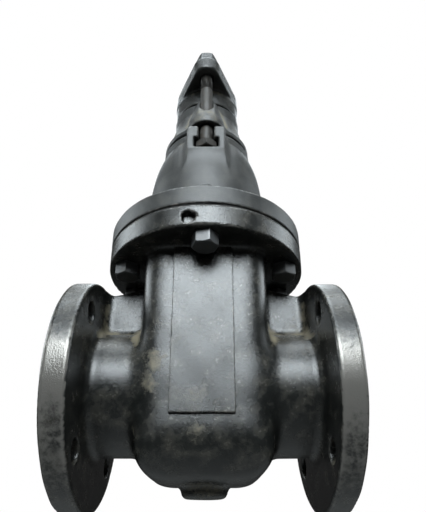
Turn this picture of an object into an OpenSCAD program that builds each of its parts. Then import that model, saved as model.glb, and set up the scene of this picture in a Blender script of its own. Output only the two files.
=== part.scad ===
// Sluice valve with flanged ends, a wedge gate and a spindle that turns without rising.
// The origin is the centre of the left pipe flange face, X runs along the pipe, Z is up the spindle.

/* [Pipe flanges] */
// Distance between the two pipe flange faces
face_to_face = 210; // [200:1:240]
// Outside diameter of the pipe flanges
flange_d = 184; // [176:1:200]
// Thickness of the pipe flanges
flange_t = 18; // [14:0.5:24]
// Bolt circle of the pipe flanges
flange_pcd = 146; // [140:1:156]
// Bolt holes in the pipe flanges
flange_hole_d = 18; // [14:0.5:20]
// Diameter of the waterway
bore_d = 76; // [64:1:78]
// Outside diameter of the two necks
neck_d = 100; // [94:1:104]
// Hollow where a neck runs into its flange
neck_fillet = 8; // [3:1:10]

/* [Chest] */
// Half width of the chest along the pipe
chest_x = 57; // [52:0.5:62]
// Half depth of the chest across the pipe
chest_y = 57; // [54:0.5:59]
// Round of the upright chest corners
chest_round = 27; // [15:1:32]
// Wall of the chest
chest_wall = 5; // [4:0.5:7]
// Radius of the round mouth under the bonnet
mouth_r = 50; // [46:0.5:51]
// Lowest point of the bowl below the pipe axis
bowl_depth = 69; // [64:1:76]
// Round of the bowl as seen from the front
bowl_round = 34; // [20:1:40]
// Round of the bowl as seen along the pipe
bowl_front_round = 41; // [20:1:44]
// Diameter of the drain boss
boss_d = 34; // [24:1:40]
// Reach of the drain boss below the bowl
boss_drop = 11; // [6:1:18]
// Width of the raised panel on the chest
panel_w = 47; // [36:1:54]
// Height of the panel face above the chest
panel_lift = 1.6; // [0.8:0.2:2.4]
// Lower end of the panel below the pipe axis
panel_low = 27; // [15:1:32]
// Thickness of the side ribs
rib_t = 12; // [8:1:18]
// Top edge of the side ribs below the top of the pipe flanges
rib_drop = 2; // [1:0.5:12]

/* [Chest and bonnet joint] */
// Radius of both joint flanges
joint_r = 87; // [84:0.5:94]
// Face of the chest flange above the pipe axis
joint_z = 127.1; // [122:0.1:136]
// Thickness of the chest flange
chest_flange_t = 18.7; // [14:0.1:22]
// Thickness of the joint sheet
sheet_t = 1.6; // [0.8:0.1:3]
// Set-back of the sheet from the flange rims
sheet_inset = 1.5; // [0.5:0.1:4]
// Thickness of the bonnet flange
bonnet_flange_t = 16.8; // [12:0.1:22]
// Radius of the bolt circle
joint_bolt_r = 72; // [71:0.5:76]
// Turn from the front bolt to the next one, so that the side bolts straddle the ribs
bolt_turn = 70; // [66:1:72]
// Bolt size
bolt_d = 12; // [8:1:13]
// Play of a bolt in its hole
bolt_play = 1.5; // [0.5:0.1:2]
// Iron left round each joint bolt hole
bolt_edge = 6; // [4:0.5:7.5]
// Size across flats of bolt heads and nuts
hex_af = 19; // [15:1:19]
// Height of the joint bolt heads
head_h = 11; // [7:0.5:13]
// Height of the joint nuts
joint_nut_h = 6; // [5:0.5:12]
// Length of the joint bolts above their nuts
bolt_over = 2; // [1:0.5:8]
// Cored pit in the chest flange rim
pit_d = 11.5; // [6:0.5:13]
// Depth of the pit
pit_depth = 7; // [3:0.5:9]
// Distance of the pit to the left of the middle
pit_x = 12.7; // [8:0.1:18]

/* [Bonnet] */
// Height of the bonnet from its flange face to its flat top
bonnet_h = 118.3; // [112:0.1:126]
// Room from the foot of the dome to the axes of the joint bolts, for their nuts
nut_room = 14.5; // [12.5:0.1:17]
// Wall of the dome at its foot
foot_wall = 7.5; // [6:0.1:9]
// Radius of the dome where it starts to close
dome_r = 54.5; // [52:0.5:56]
// Radius of the round crown
crown_r = 43.5; // [41:0.5:46]
// Height of the straight crown
crown_h = 9; // [5:0.5:12]
// Height over which the dome closes
dome_close = 43; // [36:1:50]
// Wall of the dome
dome_wall = 7; // [5:0.5:9]
// Width of the two bolt lugs
lug_w = 36; // [32:1:42]
// Reach of the lug face in front of the bolt middle
lug_front = 11; // [10:0.5:13]
// Top of the lugs below the flat top of the bonnet
lug_drop = 4; // [2:0.5:8]
// Round of the lug tops
lug_round = 5; // [2:0.5:7]
// Clearance round a gland bolt head in its pocket
pocket_play = 1.7; // [0.5:0.1:3]
// Height of the pocket for a bolt head
pocket_h = 11.5; // [9:0.5:14]
// Metal of the prongs above the pocket
prong_h = 13.5; // [9:0.5:18]
// Play of a gland bolt in its slot
slot_play = 2.5; // [1:0.1:4]

/* [Stuffing box and gland] */
// Distance of the gland bolts from the spindle
gland_bolt_y = 44; // [42:0.5:48]
// Gap under the rim of the stuffing box
rim_gap = 2.5; // [1:0.5:4]
// Radius of the stuffing box rim
rim_r = 43; // [40:0.5:47]
// Overhang of the rim past its seat on the bonnet
rim_over = 7; // [4:0.5:9]
// Thickness of the rim
rim_t = 6; // [4:0.5:10]
// Radius of the barrel
barrel_r = 33.5; // [29:0.5:37]
// Height of the hollow curve between the rim and the barrel
rim_curve_h = 9; // [4:0.5:14]
// Height of the stuffing box above the bonnet
barrel_h = 50; // [48:1:56]
// Radius of the ears
ear_r = 17.5; // [14:0.5:20]
// Straight front of the ears
ear_t = 5; // [3:0.5:19]
// Height of the ears where they run into the barrel
ear_h = 44; // [34:1:45]
// Half width of the ears at that height
ear_top_r = 8; // [5:0.5:14]
// Radius of the packing
packing_r = 18.5; // [15:0.5:21]
// Height of the packing
packing_h = 20; // [12:1:24]
// Metal between the collar and the packing
floor_t = 7; // [5:0.5:9]
// Gap between the stuffing box and the gland plate
gland_gap = 21; // [20:0.5:26]
// Drop of the gland hub below the plate
hub_drop = 19; // [10:0.5:19.5]
// Set-back of the gland hub from the plate's sides
hub_inset = 0.5; // [0.3:0.1:4]
// Thickness of the gland plate
gland_t = 16; // [10:0.5:20]
// Half width of the gland plate at the spindle
gland_r = 33; // [26:0.5:38]
// Radius of the two gland plate ends
gland_end_r = 14; // [12:0.5:18]
// Play of the gland sleeve in the stuffing box
sleeve_play = 0.2; // [0.1:0.05:0.4]
// Height of the gland bolt heads
gland_head_h = 8; // [6:0.5:9]
// Height of the gland nuts
nut_h = 12; // [6:0.5:14]
// Length of the gland bolts above their nuts
gland_bolt_over = 4; // [2:1:14]

/* [Spindle and gate] */
// Spindle diameter
spindle_d = 22; // [17:1:25]
// Length of the spindle above the gland plate
spindle_over = 61; // [50:1:75]
// Square on the spindle end
square_w = 19; // [13:0.5:20]
// Length of the square
square_len = 48; // [36:1:49]
// Radius of the spindle collar
collar_r = 19; // [16:0.5:22]
// Thickness of the spindle collar
collar_t = 11.4; // [8:0.1:12]
// Angle of each gate face
wedge_angle = 3; // [1.5:0.5:5]
// Half distance between the seats at the pipe axis
seat_x = 19; // [18:0.5:23]
// Width of a seat ring
seat_w = 6; // [4:0.5:7]
// Thickness of a seat ring
seat_t = 5; // [3:0.5:7]
// Metal round a seat ring
seat_wall = 2; // [1.5:0.5:3]
// Width of a gate face ring
face_ring_w = 6; // [4:0.5:8]
// Thickness of a gate face ring
face_ring_t = 3; // [2:0.5:4]
// Rim of the gate outside its face ring
gate_rim = 0.5; // [0.3:0.1:2]
// Height of the gate face rings above the gate
face_ring_lift = 0.5; // [0.3:0.1:1]
// Gap between the gate and a seat
seat_gap = 0.1; // [0.05:0.05:0.3]
// Side of the square gate nut
nut_block = 29; // [27:0.5:33]
// Height of the gate nut
nut_block_h = 16; // [12:1:22]
// Metal of the gate hub above the nut
hub_roof = 4; // [3:0.5:7]
// Play between the spindle and its bores
running_play = 0.06; // [0.02:0.01:0.1]
// Play round rings, packing and nuts
fit_play = 0.05; // [0.02:0.01:0.1]

/* [Hidden] */
$fn = 96;
half = face_to_face / 2;
flange_r = flange_d / 2;
flange_x = half - flange_t;
bore_r = bore_d / 2;
neck_r = neck_d / 2;
rib_top = flange_r - rib_drop;
chest_flange_z = joint_z - chest_flange_t;
bonnet_z = joint_z + sheet_t;
bonnet_flange_top = bonnet_z + bonnet_flange_t;
crown_z = bonnet_z + bonnet_h;
dome_z = crown_z - crown_h - dome_close;
bolt_hole_d = bolt_d + bolt_play;
dome_foot_r = joint_bolt_r - nut_room;
seat_r = bore_r + seat_w;
gate_r = seat_r - 1.5;
face_ring_r = gate_r - gate_rim;
gate_face = seat_x - (seat_gap + face_ring_lift) / cos(wedge_angle);
hex_ac = hex_af / cos(30);
lug_reach = gland_bolt_y + lug_front;
lug_top = crown_z - lug_drop;
pocket_w = hex_af + 2 * pocket_play;
pocket_top = lug_top - prong_h;
pocket_z = pocket_top - pocket_h;
slot_w = bolt_d + slot_play;
box_z = crown_z + rim_gap;
barrel_top = crown_z + barrel_h;
collar_play = 0.3;
collar_z = crown_z + collar_play;
collar_top = collar_z + collar_t;
box_floor = collar_top + collar_play + floor_t;
packing_top = box_floor + packing_h;
gland_z = barrel_top + gland_gap;
gland_top = gland_z + gland_t;
head_z = pocket_top - gland_head_h;
gland_bolt_top = gland_top + nut_h + gland_bolt_over;
spindle_top = gland_top + spindle_over;
square_z = spindle_top - square_len;
square_r = square_w * 0.65;
square_chamfer = 6;
spindle_r = spindle_d / 2;
running_r = spindle_r + running_play;
gate_bore_d = spindle_d + 4;
nut_z = gate_r + 1.5;
spindle_low = nut_z - 4;
hub_x = nut_block / 2 + 2.5;
hub_y = nut_block / 2 + 5.5;
hub_top = nut_z + nut_block_h + hub_roof;
cut = 1;
bowl_over = 0.3;

// Turn of each joint bolt about the spindle, number 1 in front and then to the right.
bolt_turns = [-90, -90 + bolt_turn, 90 - bolt_turn, 90, 90 + bolt_turn, 270 - bolt_turn];

// Points of a smooth curve from a to c that leans towards b.
function curve(a, b, c, n) = [
    for (i = [0 : n]) let (t = i / n, u = 1 - t) u * u * a + 2 * u * t * b + t * t * c
];

// Moves a piece drawn about the spindle axis to its place in the valve.
module place() {
    translate([half, 0, 0]) children();
}

// Cylinder along the pipe axis from x0 to x1.
module along(r, x0, x1) {
    translate([x0, 0, 0]) rotate([0, 90, 0]) cylinder(r = r, h = x1 - x0);
}

// Upright cylinder from z0 to z1.
module upright(r, z0, z1) {
    translate([0, 0, z0]) cylinder(r = r, h = z1 - z0);
}

// Frame of the right seat, with X as the outward normal of the seat face.
module seat_frame() {
    translate([seat_x, 0, 0]) rotate([0, wedge_angle, 0]) children();
}

// A piece on the right and its mirror image on the left.
module both_sides() {
    children();
    mirror([1, 0, 0]) children();
}

// A piece in front and its mirror image at the back.
module front_and_back() {
    children();
    mirror([0, 1, 0]) children();
}

// Hexagon prism with a chosen turn.
module hex(h, turn) {
    rotate([0, 0, turn]) cylinder(d = hex_ac, h = h, $fn = 6);
}

// Place of joint bolt k, with X pointing away from the spindle.
module bolt_place(k) {
    rotate([0, 0, bolt_turns[k - 1]]) translate([joint_bolt_r, 0, 0]) children();
}

module six_places() {
    for (k = [1 : 6]) bolt_place(k) children();
}

// Round joint flange from z0 to z1, drawn in by inset, with iron left round each bolt hole.
module joint_disc(inset, z0, z1) {
    translate([0, 0, z0]) linear_extrude(height = z1 - z0) union() {
        circle(r = joint_r - inset);
        six_places() circle(r = bolt_hole_d / 2 + bolt_edge - inset);
    }
}

// One pipe flange with its neck, about the pipe axis.
module pipe_end() {
    along(flange_r, flange_x, half);
    along(neck_r, 0, flange_x + cut);
    translate([flange_x, 0, 0]) rotate([0, -90, 0]) rotate_extrude() {
        difference() {
            translate([neck_r - 2, -cut]) square([neck_fillet + 2, neck_fillet + cut]);
            translate([neck_r + neck_fillet, neck_fillet]) circle(r = neck_fillet);
        }
    }
}

// Rectangle of half sides hx and hy with round corners.
module round_plan(hx, hy, r) {
    square([2 * hx - 2 * r, 2 * hy], center = true);
    square([2 * hx, 2 * hy - 2 * r], center = true);
    for (i = [-1, 1]) for (j = [-1, 1]) translate([i * (hx - r), j * (hy - r)]) circle(r = r);
}

// Upright outline with straight sides and two round corners at the bottom.
module bowl_outline(h, low, r, top) {
    translate([-h, low + r]) square([2 * h, top - low - r]);
    translate([-h + r, low]) square([2 * h - 2 * r, r + cut]);
    for (i = [-1, 1]) translate([i * (h - r), low + r]) circle(r = r);
}

// Round-cornered chest with a bowl bottom, shrunk by a wall for its inside.
module chest_shape(wall, top) {
    low = -bowl_depth + wall;
    intersection() {
        translate([0, 0, low - cut]) linear_extrude(height = top - low + cut)
            round_plan(chest_x - wall, chest_y - wall, chest_round - wall);
        rotate([90, 0, 0]) linear_extrude(height = 4 * chest_y, center = true)
            bowl_outline(chest_x - wall + bowl_over, low, bowl_round - wall, top + cut);
        rotate([90, 0, 90]) linear_extrude(height = 4 * chest_x, center = true)
            bowl_outline(chest_y - wall + bowl_over, low, bowl_front_round - wall, top + cut);
    }
}

module chest_outside() {
    chest_shape(0, chest_flange_z + cut);
    joint_disc(0, chest_flange_z, joint_z);
    upright(boss_d / 2, -bowl_depth - boss_drop, -bowl_depth + chest_wall);
    front_and_back() translate([-panel_w / 2, -chest_y - panel_lift, -panel_low])
        cube([panel_w, panel_lift + chest_wall / 2, panel_low + chest_flange_z + cut]);
    both_sides() translate([chest_x - chest_wall / 2, -rib_t / 2, 0])
        cube([flange_x - chest_x + chest_wall / 2 + cut, rib_t, rib_top]);
}

module body() color([0.13, 0.14, 0.15]) place() {
    difference() {
        union() {
            difference() {
                union() {
                    chest_outside();
                    both_sides() pipe_end();
                }
                chest_shape(chest_wall, chest_flange_z);
                upright(mouth_r, chest_flange_z - cut, joint_z + cut);
            }
            both_sides() seat_frame() along(seat_r + seat_wall, seat_wall, chest_x - seat_x);
        }
        along(bore_r, -half - cut, half + cut);
        both_sides() seat_frame() along(seat_r, -8, seat_t);
        both_sides() for (k = [0 : 3]) rotate([45 + 90 * k, 0, 0])
            translate([flange_x - cut, 0, flange_pcd / 2]) rotate([0, 90, 0])
                cylinder(d = flange_hole_d, h = flange_t + 2 * cut);
        six_places() upright(bolt_hole_d / 2, chest_flange_z - cut, joint_z + cut);
        translate([-pit_x, -joint_r + pit_depth, chest_flange_z + chest_flange_t * 0.44])
            rotate([90, 0, 0]) cylinder(d = pit_d, h = 2 * pit_depth);
    }
}

// Seat ring on the right side.
module seat_ring() {
    seat_frame() difference() {
        along(seat_r - fit_play, 0, seat_t);
        along(bore_r, -cut, seat_t + cut);
    }
}

module right_seat_ring() color([0.55, 0.42, 0.20]) place() seat_ring();

module left_seat_ring() color([0.55, 0.42, 0.20]) place() mirror([1, 0, 0]) seat_ring();

// Face ring of the gate on the right side, or the groove for it.
module face_ring(play, out) {
    seat_frame() difference() {
        along(face_ring_r - play, -seat_gap - face_ring_t, out);
        along(face_ring_r - face_ring_w + play, -seat_gap - face_ring_t - cut, out + cut);
    }
}

module gate_right_ring() color([0.60, 0.46, 0.22]) place() face_ring(fit_play, -seat_gap);

module gate_left_ring() color([0.60, 0.46, 0.22]) place() mirror([1, 0, 0]) face_ring(fit_play, -seat_gap);

// Wedge between the two gate faces.
module wedge() {
    z = 1.5 * gate_r;
    lean = z * tan(wedge_angle);
    rotate([90, 0, 0]) linear_extrude(height = 3 * gate_r, center = true) polygon([
        [gate_face + lean, z], [gate_face - lean, -z], [-gate_face + lean, -z], [-gate_face - lean, z]
    ]);
}

module gate() color([0.25, 0.25, 0.26]) place() {
    difference() {
        union() {
            intersection() {
                along(gate_r, -2 * seat_x, 2 * seat_x);
                wedge();
            }
            translate([-hub_x, -hub_y, gate_r / 2]) cube([2 * hub_x, 2 * hub_y, hub_top - gate_r / 2]);
        }
        upright(gate_bore_d / 2, -gate_r - cut, hub_top + cut);
        translate([-nut_block / 2 - fit_play, -hub_y - cut, nut_z])
            cube([nut_block + 2 * fit_play, 2 * hub_y + 2 * cut, nut_block_h + fit_play]);
        both_sides() face_ring(0, seat_x);
    }
}

module gate_nut() color([0.62, 0.48, 0.24]) place() {
    difference() {
        translate([-nut_block / 2, -nut_block / 2, nut_z]) cube([nut_block, nut_block, nut_block_h]);
        upright(running_r, nut_z - cut, nut_z + nut_block_h + cut);
    }
}

module spindle() color([0.38, 0.33, 0.28]) place() {
    upright(spindle_r, spindle_low, square_z);
    upright(collar_r, collar_z, collar_top);
    intersection() {
        translate([-square_w / 2, -square_w / 2, square_z - cut]) cube([square_w, square_w, square_len + cut]);
        union() {
            upright(square_r, square_z - 2 * cut, spindle_top - square_chamfer);
            translate([0, 0, spindle_top - square_chamfer])
                cylinder(r1 = square_r, r2 = square_r - square_chamfer * 0.9, h = square_chamfer);
        }
    }
}

module joint_sheet() color([0.08, 0.08, 0.08]) place() {
    difference() {
        joint_disc(sheet_inset, joint_z, bonnet_z);
        upright(mouth_r, joint_z - cut, bonnet_z + cut);
        six_places() upright(bolt_hole_d / 2, joint_z - cut, bonnet_z + cut);
    }
}

// Lug with round prongs in front of the dome.
module lug() {
    low = bonnet_flange_top - cut;
    rotate([90, 0, 0]) linear_extrude(height = lug_reach) union() {
        translate([-lug_w / 2, low]) square([lug_w, lug_top - lug_round - low]);
        translate([-lug_w / 2 + lug_round, low]) square([lug_w - 2 * lug_round, lug_top - low]);
        for (i = [-1, 1]) translate([i * (lug_w / 2 - lug_round), lug_top - lug_round]) circle(r = lug_round);
    }
}

// Pocket for a bolt head with a slot for the shank above it, in front.
module bolt_pocket() {
    translate([-pocket_w / 2, -lug_reach - cut, pocket_z])
        cube([pocket_w, lug_front + hex_ac / 2 + pocket_play + cut, pocket_h]);
    translate([-slot_w / 2, -lug_reach - cut, pocket_top - cut]) cube([slot_w, lug_front + cut, prong_h + lug_drop + 2]);
    translate([0, -gland_bolt_y, 0]) upright(slot_w / 2, pocket_top - cut, crown_z + cut);
}

module bonnet() color([0.14, 0.15, 0.16]) place() {
    inner_r = crown_r - 2 * dome_wall;
    foot_in_r = dome_foot_r - foot_wall;
    difference() {
        union() {
            rotate_extrude() polygon(concat(
                [[0, bonnet_z], [dome_foot_r, bonnet_z], [dome_foot_r, bonnet_flange_top]],
                curve([dome_r, dome_z], [dome_r - 3.5, dome_z + dome_close * 0.67], [crown_r, crown_z - crown_h], 8),
                [[crown_r, crown_z], [0, crown_z]]
            ));
            joint_disc(0, bonnet_z, bonnet_flange_top);
            front_and_back() lug();
        }
        rotate_extrude() polygon([
            [0, bonnet_z - cut], [foot_in_r, bonnet_z - cut], [foot_in_r, bonnet_flange_top + dome_wall],
            [dome_r - dome_wall - 1.5, dome_z], [inner_r - 3, dome_z + 15], [spindle_r + 5, pocket_top],
            [0, pocket_top]
        ]);
        upright(running_r, pocket_top - cut, crown_z + cut);
        six_places() upright(bolt_hole_d / 2, bonnet_z - cut, bonnet_flange_top + cut);
        front_and_back() bolt_pocket();
    }
}

// Bolt with its head under the chest flange.
module joint_bolt(k) color([0.12, 0.12, 0.13]) place() bolt_place(k) {
    translate([0, 0, chest_flange_z - head_h]) hex(head_h, k % 3 == 1 ? 19 : 30 - bolt_turns[k - 1]);
    upright(bolt_d / 2, chest_flange_z - cut, bonnet_flange_top + joint_nut_h + bolt_over);
}

// Nut on the bonnet flange.
module joint_nut(k) color([0.12, 0.12, 0.13]) place() bolt_place(k) {
    difference() {
        translate([0, 0, bonnet_flange_top]) hex(joint_nut_h, 11 + 37 * (k - 1));
        upright(bolt_d / 2 + fit_play, bonnet_flange_top - cut, bonnet_flange_top + joint_nut_h + cut);
    }
}

module joint_bolt_1() joint_bolt(1);
module joint_bolt_2() joint_bolt(2);
module joint_bolt_3() joint_bolt(3);
module joint_bolt_4() joint_bolt(4);
module joint_bolt_5() joint_bolt(5);
module joint_bolt_6() joint_bolt(6);
module joint_nut_1() joint_nut(1);
module joint_nut_2() joint_nut(2);
module joint_nut_3() joint_nut(3);
module joint_nut_4() joint_nut(4);
module joint_nut_5() joint_nut(5);
module joint_nut_6() joint_nut(6);

// Ear of the stuffing box, in front, that narrows upwards and slopes up to the barrel.
module ear() {
    top = box_z + ear_h;
    intersection() {
        union() {
            translate([0, -lug_reach + ear_r, 0]) upright(ear_r, box_z, top);
            translate([-ear_r, -lug_reach + ear_r, box_z]) cube([2 * ear_r, lug_reach - ear_r, ear_h]);
        }
        rotate([90, 0, 90]) linear_extrude(height = 4 * ear_r, center = true) polygon([
            [-lug_reach - cut, box_z], [-lug_reach - cut, box_z + ear_t], [-barrel_r + 2, top],
            [-packing_r - 2, top], [-packing_r - 2, box_z]
        ]);
        rotate([90, 0, 0]) linear_extrude(height = 2 * lug_reach) polygon([
            [-ear_r - cut, box_z], [ear_r + cut, box_z], [ear_r + cut, box_z + ear_t], [ear_top_r, top],
            [-ear_top_r, top], [-ear_r - cut, box_z + ear_t]
        ]);
    }
}

module stuffing_box() color([0.16, 0.16, 0.16]) place() {
    difference() {
        union() {
            rotate_extrude() polygon(concat(
                [[0, crown_z], [rim_r - rim_over, crown_z], [rim_r - rim_over, box_z], [rim_r, box_z]],
                curve([rim_r, box_z + rim_t], [barrel_r, box_z + rim_t], [barrel_r, box_z + rim_t + rim_curve_h], 6),
                [[barrel_r, barrel_top], [0, barrel_top]]
            ));
            front_and_back() ear();
        }
        upright(collar_r + collar_play, crown_z - cut, collar_top + collar_play);
        upright(running_r, crown_z, barrel_top);
        upright(packing_r, box_floor, barrel_top + cut);
        front_and_back() translate([0, -gland_bolt_y, 0]) upright(bolt_hole_d / 2, crown_z - cut, barrel_top);
    }
}

module packing() color([0.30, 0.28, 0.24]) place() {
    difference() {
        upright(packing_r - fit_play, box_floor, packing_top);
        upright(running_r, box_floor - cut, packing_top + cut);
    }
}

// Outline of the gland plate: a round middle, two round ends and straight tangents between them.
module gland_outline() {
    lean = asin((gland_r - gland_end_r) / gland_bolt_y);
    c = cos(lean);
    s = sin(lean);
    tip_x = gland_end_r * c;
    tip_y = gland_bolt_y + gland_end_r * s;
    circle(r = gland_r);
    for (i = [-1, 1]) translate([0, i * gland_bolt_y]) circle(r = gland_end_r);
    polygon([
        [gland_r * c, gland_r * s], [tip_x, tip_y], [-tip_x, tip_y], [-gland_r * c, gland_r * s],
        [-gland_r * c, -gland_r * s], [-tip_x, -tip_y], [tip_x, -tip_y], [gland_r * c, -gland_r * s]
    ]);
}

module gland() color([0.17, 0.17, 0.17]) place() {
    difference() {
        union() {
            translate([0, 0, gland_z]) linear_extrude(height = gland_t) gland_outline();
            upright(gland_r - hub_inset, gland_z - hub_drop, gland_z + cut);
            upright(packing_r - sleeve_play, packing_top, gland_z + cut);
        }
        upright(running_r, packing_top - cut, gland_top + cut);
        front_and_back() translate([0, -gland_bolt_y, 0])
            upright(bolt_hole_d / 2, gland_z - hub_drop - cut, gland_top + cut);
    }
}

// Gland bolt with its head in the bonnet pocket, in front.
module gland_bolt() {
    translate([0, -gland_bolt_y, head_z]) hex(gland_head_h, 30);
    translate([0, -gland_bolt_y, 0]) upright(bolt_d / 2, head_z, gland_bolt_top);
}

module front_gland_bolt() color([0.30, 0.24, 0.20]) place() gland_bolt();

module back_gland_bolt() color([0.30, 0.24, 0.20]) place() mirror([0, 1, 0]) gland_bolt();

// Nut on the gland plate, in front.
module gland_nut() {
    translate([0, -gland_bolt_y, 0]) difference() {
        translate([0, 0, gland_top]) hex(nut_h, 30);
        upright(bolt_d / 2 + fit_play, gland_top - cut, gland_top + nut_h + cut);
    }
}

module front_gland_nut() color([0.16, 0.16, 0.17]) place() gland_nut();

module back_gland_nut() color([0.16, 0.16, 0.17]) place() mirror([0, 1, 0]) gland_nut();

body();
left_seat_ring();
right_seat_ring();
gate();
gate_left_ring();
gate_right_ring();
gate_nut();
spindle();
joint_sheet();
bonnet();
joint_bolt_1();
joint_bolt_2();
joint_bolt_3();
joint_bolt_4();
joint_bolt_5();
joint_bolt_6();
joint_nut_1();
joint_nut_2();
joint_nut_3();
joint_nut_4();
joint_nut_5();
joint_nut_6();
stuffing_box();
packing();
gland();
front_gland_bolt();
back_gland_bolt();
front_gland_nut();
back_gland_nut();
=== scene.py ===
"""Looks of the sluice valve: castings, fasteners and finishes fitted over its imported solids.

Lengths are in millimetres about the spindle axis, with X along the pipe and Z up, until a mesh is
made. The studio's lamps and floor are in metres.
"""

import logging
import math
from dataclasses import dataclass
from enum import Enum
from typing import Callable

import bpy
import numpy as np
from mathutils import Matrix, Vector


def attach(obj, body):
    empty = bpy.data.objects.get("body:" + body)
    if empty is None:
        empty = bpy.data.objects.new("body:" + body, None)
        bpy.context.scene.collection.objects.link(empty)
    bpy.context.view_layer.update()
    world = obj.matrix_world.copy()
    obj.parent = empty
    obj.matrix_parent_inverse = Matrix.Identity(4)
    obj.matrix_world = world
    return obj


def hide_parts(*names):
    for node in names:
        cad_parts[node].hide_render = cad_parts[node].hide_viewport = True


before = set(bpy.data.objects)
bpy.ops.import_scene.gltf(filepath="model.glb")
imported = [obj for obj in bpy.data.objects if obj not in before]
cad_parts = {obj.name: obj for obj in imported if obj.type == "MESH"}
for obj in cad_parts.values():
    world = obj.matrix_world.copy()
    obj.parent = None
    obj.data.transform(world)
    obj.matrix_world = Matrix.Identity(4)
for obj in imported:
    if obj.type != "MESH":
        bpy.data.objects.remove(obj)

Points = tuple[np.ndarray, np.ndarray, np.ndarray]
Shape = Callable[[Points], np.ndarray]
Pair = tuple[float, float]
Place = tuple[float, float, float]
Colour = tuple[float, float, float, float]
Spot = tuple[float, float, float, float, float]
Box = tuple[float, float, float, float]
Level = tuple[np.ndarray, np.ndarray]
Skin = tuple[np.ndarray, list[tuple[int, ...]]]
Socket = bpy.types.NodeSocket
Sockets = bpy.types.bpy_prop_collection

LOG = logging.getLogger("valve")
MM = 0.001
TINY = 1e-9
HALF_LENGTH = 105.0

# Joint and gland bolts, which several castings share.
BOLT_CIRCLE = 72.0
BOLT_TURNS = (-90.0, -20.0, 20.0, 90.0, 160.0, 200.0)
BOLT_HOLE = 6.75
GLAND_BOLT_Y = 44.0

# Grid layers worked out at a time, and how its points are drawn to the surface.
SLAB = 12
PULLS = 3
PULL = 0.8
PULL_STEP = 0.05

# Room round a casting, height of its waves, and the reach and full value of its marks.
MARGIN = 2.0
WAVE = 0.10
NORMAL_STEP = 0.4
EDGE_REACH, EDGE_FULL = 2.2, 1.6
FOLD_REACH, FOLD_FULL = 10.0, 0.95


class Slot(Enum):
    """Material slots of the record; settle takes one with each new piece but does not read it."""

    CASTING = "casting"
    FASTENER = "fastener"
    SPINDLE = "spindle"


# Distances to simple forms, negative inside.


def corner(a: np.ndarray, b: np.ndarray, e: float) -> np.ndarray:
    """Joins two limits with an edge of radius e."""
    outside = np.hypot(np.maximum(a + e, 0.0), np.maximum(b + e, 0.0))
    return np.minimum(np.maximum(a, b) + e, 0.0) + outside - e


def blend(a: np.ndarray, b: np.ndarray, k: float) -> np.ndarray:
    """Joins two forms with a hollow fillet of reach k."""
    h = np.clip(0.5 + 0.5 * (b - a) / k, 0.0, 1.0)
    return b * (1.0 - h) + a * h - k * h * (1.0 - h)


def carve(a: np.ndarray, b: np.ndarray, k: float) -> np.ndarray:
    """Cuts form b out of form a, with an edge softened over k."""
    return -blend(-a, b, k)


def meet(a: np.ndarray, b: np.ndarray, k: float) -> np.ndarray:
    """Keeps what lies in both forms, with an edge softened over k."""
    return -blend(-a, -b, k)


def span(c: np.ndarray, low: float, high: float) -> np.ndarray:
    """Space between two planes."""
    return np.abs(c - (low + high) / 2) - (high - low) / 2


def disc(p: Points, r: float, z0: float, z1: float, e: float, at: Pair = (0.0, 0.0)) -> np.ndarray:
    """Upright disc of radius r from z0 to z1, with rims rounded by e."""
    return corner(np.hypot(p[0] - at[0], p[1] - at[1]) - r, span(p[2], z0, z1), e)


def disc_x(p: Points, r: float, x0: float, x1: float, e: float) -> np.ndarray:
    """Disc along the pipe of radius r from x0 to x1, with rims rounded by e."""
    return disc((p[1], p[2], p[0]), r, x0, x1, e)


def block(p: Points, low: Place, high: Place, e: float) -> np.ndarray:
    """Block with rounded edges.

    Args:
        p: Points.
        low: Lowest corner.
        high: Highest corner.
        e: Radius of the edges.

    Returns:
        Distance to the block.
    """
    d = [span(c, a, b) + e for c, a, b in zip(p, low, high)]
    out = np.sqrt(sum(np.maximum(c, 0.0) ** 2 for c in d))
    return out + np.minimum(np.maximum(np.maximum(d[0], d[1]), d[2]), 0.0) - e


def round_plan(u: np.ndarray, v: np.ndarray, hu: float, hv: float, r: float) -> np.ndarray:
    """Rectangle of half sides hu and hv with corners of radius r, in two coordinates."""
    return corner(np.abs(u) - hu, np.abs(v) - hv, r)


def lathe(p: Points, outline: list[Pair]) -> np.ndarray:
    """Solid of revolution about the spindle axis.

    Args:
        p: Points.
        outline: Closed outline of radius and height.

    Returns:
        Distance to the solid.
    """
    r, z = np.hypot(p[0], p[1]), p[2]
    best = np.full(r.shape, np.inf)
    inside = np.zeros(r.shape, bool)
    for (r0, z0), (r1, z1) in zip(outline, outline[1:] + outline[:1]):
        dr, dz = r1 - r0, z1 - z0
        t = np.clip(((r - r0) * dr + (z - z0) * dz) / (dr * dr + dz * dz), 0.0, 1.0)
        if r0 > 0 or r1 > 0:
            best = np.minimum(best, (r - r0 - t * dr) ** 2 + (z - z0 - t * dz) ** 2)
        if z0 != z1:
            cross = (z0 > z) != (z1 > z)
            inside ^= cross & (r < dr * (z - z0) / dz + r0)
    return np.where(inside, -1.0, 1.0) * np.sqrt(best)


def bend(a: Pair, b: Pair, c: Pair, n: int = 8) -> list[Pair]:
    """Points of a smooth curve from a to c that leans towards b.

    Args:
        a: First point.
        b: The point that it leans towards.
        c: Last point.
        n: Number of steps.

    Returns:
        The points.
    """
    curve = []
    for t in (i / n for i in range(n + 1)):
        s = ((1 - t) ** 2, 2 * t * (1 - t), t * t)
        curve.append(tuple(s[0] * u + s[1] * v + s[2] * w for u, v, w in zip(a, b, c)))
    return curve


def bolt_places() -> list[Pair]:
    """Places of the six joint bolts about the spindle."""
    turns = [math.radians(t) for t in BOLT_TURNS]
    return [(BOLT_CIRCLE * math.cos(t), BOLT_CIRCLE * math.sin(t)) for t in turns]


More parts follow.
